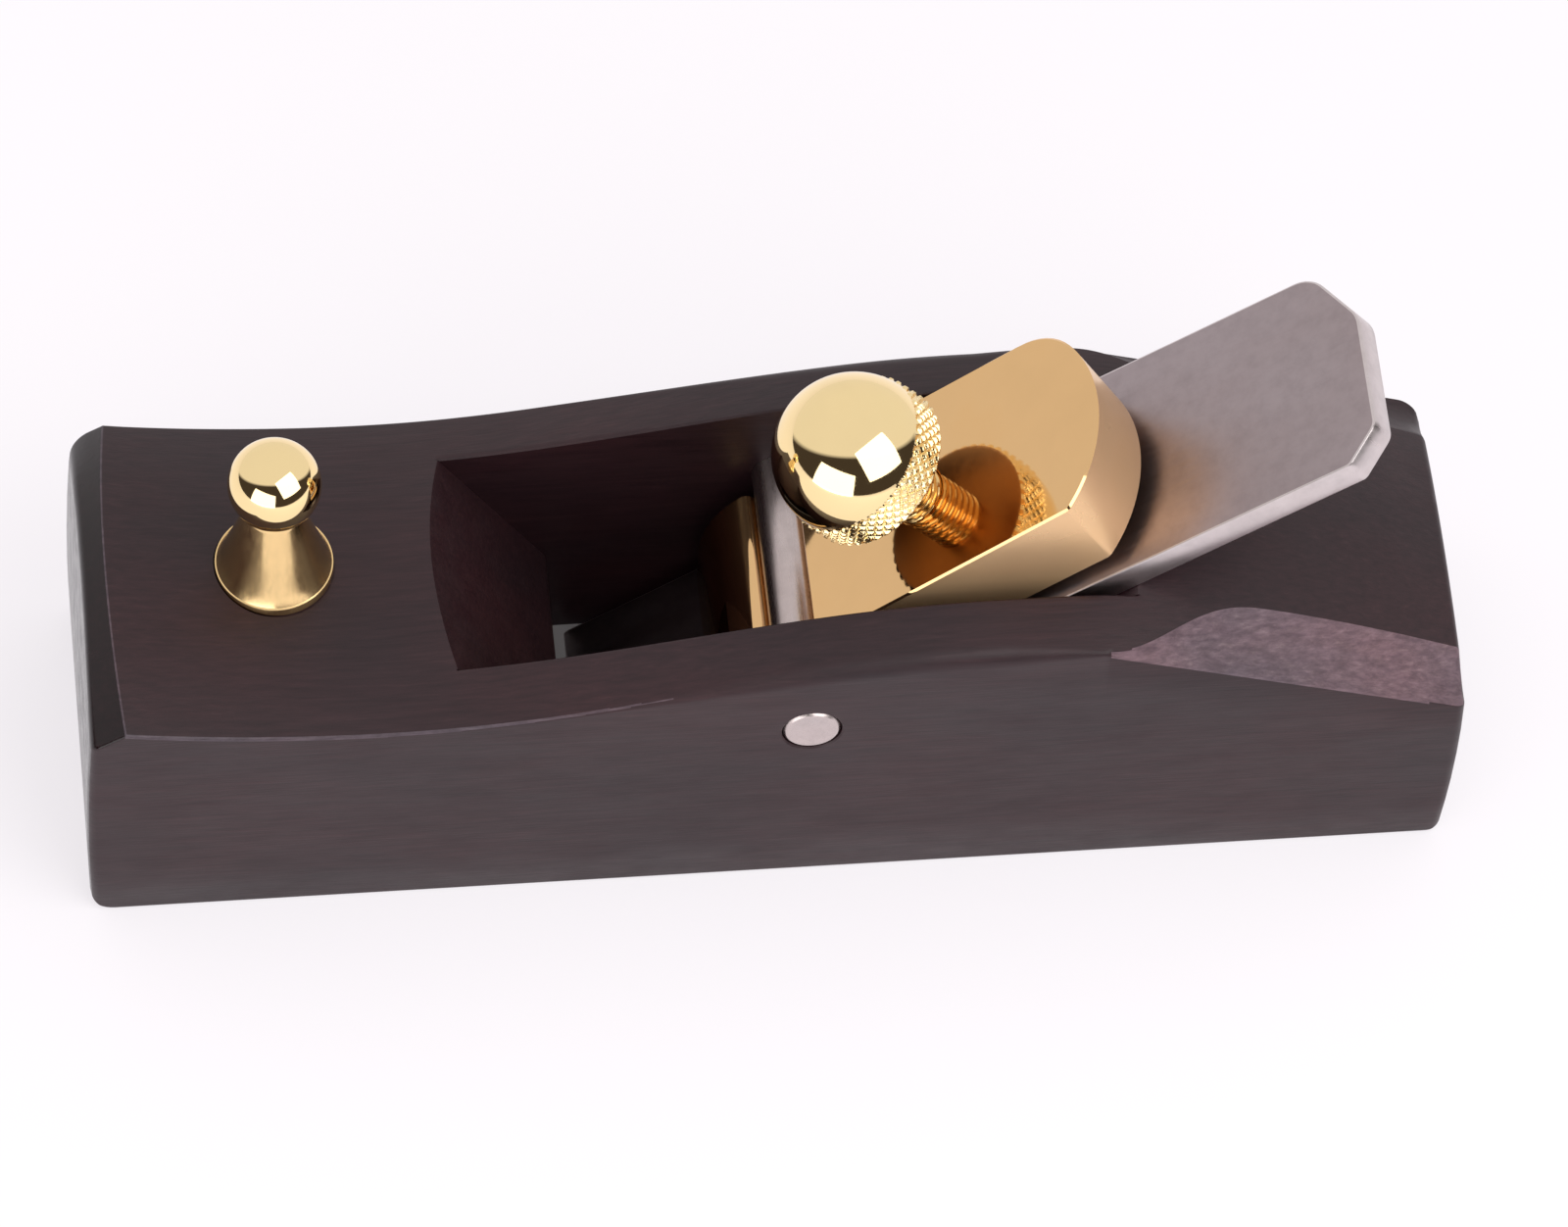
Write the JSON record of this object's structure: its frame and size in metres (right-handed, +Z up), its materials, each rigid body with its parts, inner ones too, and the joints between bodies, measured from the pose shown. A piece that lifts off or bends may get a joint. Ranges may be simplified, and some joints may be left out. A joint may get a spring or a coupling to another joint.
{
  "type": "wooden block plane",
  "caption": "Small wooden hand plane with a crowned dark stock, a thick low-angle iron, a brass lever cap with a domed, knurled thumb screw and a brass strike button.",
  "frame": {"origin": "middle of the sole, at the centre of the plane's length and width", "axes": "+X from the toe to the heel, +Y across to the far side, +Z up from the sole; metres"},
  "size_m": [0.184, 0.05, 0.0779],
  "materials": {
    "hardwood": "oiled, satin, very dark fine-grained hardwood",
    "pin_steel": "faced end with a bright chamfer",
    "cap_brass": "polished face, fine-ground sides",
    "iron_steel": "satin, ground",
    "turned_brass": "turned and polished",
    "screw_steel": "plain"
  },
  "bodies": {
    "stock": {"stock": "hardwood", "cross_pin": "pin_steel", "strike_button": "turned_brass", "strike_screw": "screw_steel"},
    "iron": {"iron": "iron_steel"},
    "lever_cap": {"lever_cap": "cap_brass"},
    "pad": {"pressure_pad": "turned_brass"},
    "thumb_screw": {"screw_knob": "turned_brass", "screw_stud": "turned_brass"}
  },
  "joints": [
    {"name": "iron_slide", "type": "slide", "parent": "stock", "child": "iron", "axis": [0.7934, 0, 0.6088], "range_m": [-0.0005, 0.06]},
    {"name": "cap_tilt", "type": "hinge", "parent": "stock", "child": "lever_cap", "pos_m": [0.0039, 0, 0.03385], "axis": [0, 1, 0], "range_deg": [0, 2.35]},
    {"name": "pad_travel", "type": "slide", "parent": "lever_cap", "child": "pad", "axis": [-0.6626, 0, 0.749], "range_m": [0, 0.00096]},
    {"name": "screw_turn", "type": "hinge", "parent": "pad", "child": "thumb_screw", "pos_m": [0.01946, 0, 0.05128], "axis": [-0.6626, 0, 0.749], "range_deg": [0, 270]}
  ],
  "couplings": [
    {"joint": "pad_travel", "follows": "screw_turn", "m_per_rad": 0.00019894},
    {"joint": "cap_tilt", "follows": "screw_turn", "ratio": 0.0085752}
  ]
}
